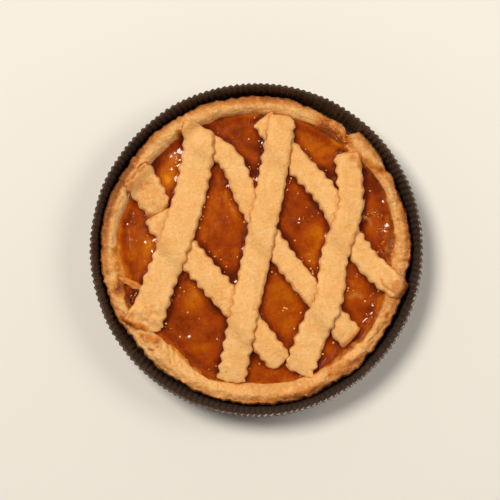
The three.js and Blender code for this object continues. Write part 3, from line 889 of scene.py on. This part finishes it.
upperStrips = [
    {"name": "left_over_strip", "node": "strip_over_left", "pinched": (1, 1.7), "seed": 5, "skew": (4, -1.8),
     "path": [(-38.5, 83.5, 21), (-38.8, 65, 21.3), (-42.8, 43.1, 21.3), (-46.1, 29.8, 21.3),
        (-54.7, 3.3, 21.5), (-64, -19.9, 21.5), (-69.5, -36, 22.5), (-76.8, -52.2, 26)],
     "creases": [([(-70, -37.5), (-70.2, -42), (-72.6, -46.5)], 1.3, 0.55),
        ([(-67.8, -41), (-64.5, -43.6), (-60.5, -43.2)], 1.2, 0.5), ([(-80, -40), (-77.5, -45)], 1.1, 0.35)],
     "shapes": [([(-76, -41)], 3.2, 0.9), ([(-66.5, -38)], 3, 0.7), ([(-66, -47.5)], 3, 0.9),
        ([(-78, -48)], 3, 0.8)],
     "rumpled": [([(-82, -42), (-68, -43), (-64, -47)], 6.5, 1)],
     "brownedAndShaded": [([(-89, -46.5), (-80, -50), (-72, -52.5)], 1.8, 0.7), ([(-72, -39)], 4, 0.2),
        ([(-84, -44)], 5, 0.3)],
     "glazed": [([(-89.5, -46), (-84, -49), (-77, -50.5)], 1.8, 0.7), ([(-85, -38), (-81, -32)], 1.2, 0.5)]},
    {"name": "middle_over_strip", "node": "strip_over_middle", "seed": 6,
     "path": [(17.6, 89.5, 18), (10.3, 46.4, 19), (1, 0, 19), (-9, -46.4, 19), (-17, -88, 19)]},
    {"name": "right_over_strip", "node": "strip_over_right", "pinched": (0.7, 1), "seed": 7,
     "path": [(60, 64.8, 17), (62, 49.7, 17.4), (63, 33.2, 17.2), (61.3, 23.2, 17.6), (55.4, 6.6, 18),
        (51.4, -8, 18.5), (49.4, -26.5, 19), (45.4, -39.8, 19.5), (38.1, -54.4, 20), (27.5, -82.5, 20)],
     "shapes": [([(62, 62)], 4, 0.6), ([(54, 5)], 6, 0.6)],
     "rumpled": [([(58, 62), (66, 60)], 5, 0.6)],
     "brownedAndShaded": [([(68, 62), (68.5, 56)], 2.2, 0.5), ([(56, 66), (64, 65.5)], 2.2, 0.45),
        ([(64, 61)], 3.5, 0.35)]},
]
sliverStrip = {
    "name": "dough_curl", "node": "dough_sliver", "slot": "sliver", "seed": 8,
    "path": [(-91.5, -18.4, 1.8), (-87.5, -20.2, 4), (-84, -22, 4.4), (-80.5, -23.8, 5.2), (-76, -26, 2.2)],
    "creases": [([(-88, -20.6), (-84, -22.4), (-79, -24.8)], 0.5, 0.6)],
    "brownedAndShaded": [([(-92, -18.8), (-84, -22), (-75, -26)], 5, 0.3)],
    "glazed": [([(-92, -18.8), (-84, -22), (-75, -26)], 5, 0.3)],
    "thickness": 2.3, "cell": 0.4, "topRound": 1.2, "crown": 0.4, "waveDepth": 0.15, "sunk": 0.1,
    "creaseDepth": 0.5, "cornerRound": 0.3, "torn": 0.9,
}


def layStrip(own, bed, finish):
    s = {**strip, **own}
    widest = max(point[2] for point in s["path"])
    line, length = smoothPath(s["path"], 400)
    columns = int(length / s["cell"])
    rows = int(widest / s["cell"])
    piece = added(bpy.ops.mesh.primitive_cube_add, s["name"], size=2)
    for axis, cells in enumerate((columns, rows, s["levels"])):
        cutEvenly(piece, axis, cells - 1)
    unit = pointsOf(piece) * mm
    along = (unit[:, 0] + 1) / 2
    across = unit[:, 1]
    level = (unit[:, 2] + 1) / 2
    seed = s["seed"]
    spot = along * (len(line) - 1)
    x, y, width = (np.interp(spot, np.arange(len(line)), column) for column in line.T)
    heading = np.gradient(line[:, :2], axis=0)
    heading /= np.hypot(*heading.T)[:, None]
    hx, hy = (np.interp(spot, np.arange(len(line)), column) for column in heading.T)
    run = along * length
    toEnd = length - run
    side = np.sign(across)
    edgeLine = np.column_stack([run, side * 40, 0 * run])
    # the wavy cut of both edges, stronger here and softer there
    beat = run / s["wavePitch"] * turn + seed * (1.7 + side) + 1.3 * lumps(edgeLine, 17, seed)
    strength = np.clip(0.75 + 0.9 * lumps(edgeLine, 24, seed + 2), 0.25, 1.2)
    wave = s["waveDepth"] * (strength * np.sin(beat) + 0.45 * lumps(edgeLine, 6, seed + 9))
    half = width / 2 + wave * np.abs(across) ** 1.5
    # ends are pressed thin into the rim
    first, last = s["pinched"]
    press = np.maximum(first * (1 - smoothstep(run, 0, s["pinchLength"])),
                       last * (1 - smoothstep(toEnd, 0, s["pinchLength"])))
    thick = s["thickness"] * (1 - s["pinch"] * press)
    # a slab with rounded edges: what stands past the rounding's middle is drawn in to a round
    py, pz = across * half, level * thick
    above = level > 0.3
    rounding = np.where(above, np.minimum(s["topRound"], 0.75 * thick),
                        np.minimum(s["footRound"], 0.2 * thick))
    cy = np.clip(py, -half + rounding, half - rounding)
    cz = np.where(above, np.minimum(pz, thick - rounding), np.maximum(pz, rounding))
    cx = np.clip(run, 1.5 * rounding, length - 1.5 * rounding)
    away = np.column_stack([(run - cx) / 1.5, py - cy, pz - cz])
    pull = np.abs(away).max(axis=1) / np.maximum(np.linalg.norm(away, axis=1), 1e-9)
    py = cy + away[:, 1] * pull
    pz = cz + away[:, 2] * pull
    dx = cx + away[:, 0] * 1.5 * pull - run
    start, end = s["skew"]
    atStart, atEnd = 1 - smoothstep(run, 0, 12), 1 - smoothstep(toEnd, 0, 12)
    torn = s["torn"] * lumps(np.column_stack([across * width / 2, 0 * run, atEnd * 50]), 5, seed + 4)
    torn -= s["cornerRound"] * np.abs(across) ** 3
    dx = dx + across * (start * atStart + end * atEnd) + torn * (atEnd - atStart)
    places = np.column_stack([x - hy * py + hx * dx, y + hx * py + hy * dx, pz])
    crown = s["crown"] * (1 - across ** 2) * level
    hard, soft, bare = (readMap(heights, places) for heights in bed)
    pressedIn = np.clip(press, 0, 1)
    under = hard + (bare - hard) * pressedIn - s["sunk"]
    over = soft + (bare - soft) * pressedIn
    ground = under * (1 - level) + over * level
    relief = (0.4 * lumps(places, 16, seed + 1) + 0.42 * lumps(places, 8, seed)
              + 0.3 * lumps(places, 3.4, seed + 3) + 0.15 * lumps(places, 1.6, seed + 5))
    creased = traces(places, s["creases"], 0.3, seed + 13)
    marks = pressed(places, s["shapes"], seed + 15) - creased * s["creaseDepth"]
    # torn and crumpled places: round lumps with a crease between each two
    rumple, folds = traces(places, s["rumpled"]), np.abs(lumps(places, 4.4, seed + 21))
    marks += rumple * (1.9 * folds + np.abs(lumps(places, 2.2, seed + 23)) - 0.7)
    # the creases between the lumps are painted darker too, as painted shade in them
    creased = np.maximum(creased, 0.5 * rumple * (1 - smoothstep(folds, 0.0, 0.1)))
    scale = min(1.0, s["thickness"] / 4)
    places[:, 2] = ground + pz + crown * scale + (relief * (1 - 0.3 * press) * scale + marks) * level
    crumble = (0.3 * lumps(places, 2.4, seed + 7) + 0.2 * lumps(places, 1.2, seed + 8)) * scale
    crumble *= smoothstep(np.abs(across), 0.8, 1.0) * side
    places[:, 0] -= crumble * hy
    places[:, 1] += crumble * hx
    setPoints(piece, places)
    # edges and high spots brown first, the foot soaks up syrup
    rim = np.maximum(smoothstep(np.abs(across), 0.6, 1.0), smoothstep(5 - np.minimum(run, toEnd), 0, 5))
    edge = rim * np.clip(0.42 + 0.7 * lumps(places, 9, seed + 11), 0.05, 1)
    baked = 0.06 * relief / 0.4 + edge * 0.34 + 0.3 * (1 - level) * smoothstep(np.abs(across), 0.9, 1.0)
    baked = np.maximum(baked, traces(places, s["brownedAndShaded"], 1.2, seed + 17))
    soaked = np.clip(0.75 + 0.5 * lumps(places, 5, seed + 19), 0.3, 1)
    soaked *= 1 - smoothstep(level, 0.15, 0.5)
    juicy = np.maximum(soaked, traces(places, s["glazed"], 0.8, seed + 25))
    paint(piece, baked=np.clip(baked, 0, 1), juicy=juicy, crack=creased)
    dress(piece, finish, 80)
    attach(piece, "root")
    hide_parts(s["node"])
    return piece


def bedOf(heights):
    hard = np.maximum(heights, blurred(spread(heights, 1.5), 1.5))
    soft = blurred(spread(heights, 2.25), 2.6)
    return hard, soft, blurred(heights, 1.2)


# bubbles and crumbs
bubbles = {
    "seed": 4,
    "within": 92,
    "scattered": 240,
    "radius": (0.25, 0.7),
    "flat": 0.5,
    # where they crowd: x, y, reach, count, smallest and largest radius
    "clusters": [(-54.5, 55.5, 3, 6, 0.6, 1.3), (-52, 62, 2, 3, 0.5, 1), (-64.5, 3.5, 3, 5, 0.5, 1.1),
        (-80, 19, 4, 14, 0.25, 0.6), (-74, 6, 6, 16, 0.25, 0.55), (-80, -32, 3.4, 12, 0.5, 1.1),
        (-84, -27, 2.4, 6, 0.4, 0.9), (83, 13, 3.4, 8, 0.5, 1.2), (76, 26, 4, 10, 0.4, 0.9),
        (85.5, 5, 2.6, 5, 0.5, 1.1), (83, 21, 3.4, 7, 0.4, 0.9), (77, -33, 4, 8, 0.4, 1),
        (75, -44, 3.4, 7, 0.5, 1.2), (70, -55, 2.6, 5, 0.5, 1.1), (67, -17, 1.8, 4, 0.5, 0.9),
        (-55, -30, 4, 8, 0.3, 0.7)],
}
crumbs = {
    "seed": 9,
    "within": 92,
    "count": 90,
    "radius": (0.3, 0.8),
}


def joinedCopies(model, name, spots, finish):
    # one copy of the model for each spot of (place, radius, turned, heights), joined as one mesh
    copies = []
    for place, radius, turned, tall in spots:
        copy = model.copy()
        copy.data = model.data.copy()
        bpy.context.collection.objects.link(copy)
        copy.location = Vector(place) * mm
        copy.rotation_euler = (0, 0, turned)
        copy.scale = (radius * mm, radius * mm * 0.9, radius * mm * tall)
        copies.append(copy)
    selectOnly(copies)
    bpy.ops.object.join()
    piece = bpy.context.object
    bpy.ops.object.transform_apply(location=True, rotation=True, scale=True)
    piece.name = name
    bpy.data.objects.remove(model)
    dress(piece, finish, 50)
    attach(piece, "root")
    return piece


def halfBall():
    # a ball of radius 1 cut flat a little under its middle
    ball = added(bpy.ops.mesh.primitive_uv_sphere_add, "ball", segments=12, ring_count=7, radius=1)
    mode("EDIT")
    bpy.ops.mesh.select_all(action="SELECT")
    bpy.ops.mesh.bisect(plane_co=(0, 0, -0.3), plane_no=(0, 0, 1), use_fill=True, clear_inner=True)
    mode("OBJECT")
    return ball


def openSyrup(x, y, footprint, clear):
    # true where no strip or crust covers the filling
    radius, angle = math.hypot(x, y), np.array([math.atan2(y, x)])
    edge = crust["innerRadius"] + swell(angle, crust["inner"])[0]
    spots = [(x, y), (x + clear, y), (x - clear, y), (x, y + clear), (x, y - clear)]
    near = readMap(footprint.astype(float), np.array(spots))
    return radius < edge - clear - 0.4 and near.max() < 0.2


def makeBubbles(fillingMap, footprint):
    s = bubbles
    draw = np.random.default_rng(s["seed"])
    wanted = []
    low, high = s["radius"]
    for _ in range(s["scattered"]):
        x, y = draw.uniform(-s["within"], s["within"], 2)
        wanted.append((x, y, low + (high - low) * draw.random() ** 2.5))
    for x, y, reach, count, low, high in s["clusters"]:
        for _ in range(count):
            away, angle = reach * math.sqrt(draw.random()), turn * draw.random()
            wanted.append((x + away * math.cos(angle), y + away * math.sin(angle), draw.uniform(low, high)))
    spots = []
    for x, y, radius in wanted:
        turned = draw.uniform(0, turn)
        if openSyrup(x, y, footprint, radius * 0.6):
            height = readAt(fillingMap, x, y) - 0.1 * radius
            spots.append(((x, y, height), radius, turned, s["flat"]))
    return joinedCopies(halfBall(), "syrup_bubbles", spots, bubbleFinish())


def makeCrumbs(fillingMap, footprint, finish):
    s = crumbs
    draw = np.random.default_rng(s["seed"])
    beside = blurred(footprint.astype(float), 3.0)
    spots = []
    low, high = s["radius"]
    while len(spots) < s["count"]:
        x, y = draw.uniform(-s["within"], s["within"], 2)
        radius = low + (high - low) * draw.random() ** 2
        if draw.random() < 0.15 + readAt(beside, x, y) * 2 and openSyrup(x, y, footprint, radius):
            turned, tall = draw.uniform(0, turn), draw.uniform(0.6, 1.0)
            height = readAt(fillingMap, x, y) + 0.1 * radius
            spots.append(((x, y, height), radius, turned, tall))
    model = added(bpy.ops.mesh.primitive_ico_sphere_add, "crumb", subdivisions=2, radius=1)
    places = pointsOf(model) * mm
    bent = 1 + 0.45 * lumps(places, 0.9, 5.0)
    setPoints(model, places * bent[:, None] / mm)
    return joinedCopies(model, "dough_crumbs", spots, finish)


# making
bpy.context.scene.view_settings.view_transform = "Standard"
addCamera()
floor = added(bpy.ops.mesh.primitive_plane_add, "floor", size=4)
floorFinish = Finish(bpy.data.materials.new("paleFloor"))
floor.data.materials.append(floorFinish.finishWith({"Base Color": studio["floorColour"], "Roughness": 0.9}))
addSky()
for name, settings in studio["lights"].items():
    addLight(name, *settings)
print("camera, floor and lights are set")

makeCase()
print("baking case done")
crustPiece = makeCrust()
print("crust done")
crustMap = topMap([crustPiece])
ground = np.maximum(crustMap, filling["level"])
stripFinish = doughFinish("bakedStrip")
bed = bedOf(ground)
laid = [layStrip(s, bed, stripFinish) for s in lowerStrips]
print("lower strips laid")
raised = topMap(laid)
bed = bedOf(np.maximum(ground, raised))
laid += [layStrip(s, bed, stripFinish) for s in upperStrips]
print("upper strips laid")
layStrip(sliverStrip, bedOf(ground), doughFinish("brownedDough", 0.8))
fillingPiece, footprint = makeFilling(laid)
fillingMap = topMap([fillingPiece])
print("filling done")
makeBubbles(fillingMap, footprint)
makeCrumbs(fillingMap, footprint, stripFinish)
print("bubbles and crumbs done")
